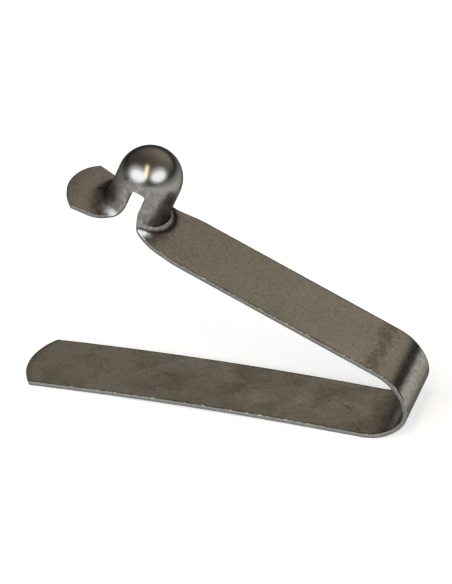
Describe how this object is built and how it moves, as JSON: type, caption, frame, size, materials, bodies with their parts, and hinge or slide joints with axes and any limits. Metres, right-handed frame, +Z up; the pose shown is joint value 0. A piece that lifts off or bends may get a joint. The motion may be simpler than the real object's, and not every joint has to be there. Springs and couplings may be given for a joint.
{
  "type": "pushbutton spring clip",
  "caption": "Bent spring strip with a hollow domed button drawn up from its upper arm, a side slot through each button wall and a rounded finger tab; locks telescoping tubes.",
  "frame": {"origin": "middle of the footprint, on the plane that the lower arm stands on", "axes": "+X along the lower arm towards the bend, +Y across the strip, +Z up, away from the lower arm"},
  "size_m": [0.0538, 0.01, 0.0357],
  "materials": {
    "spring_steel": "satin spring steel strip, lightly burnished where it was drawn"
  },
  "bodies": {
    "root": {"spring_clip": "spring_steel"}
  },
  "joints": []
}
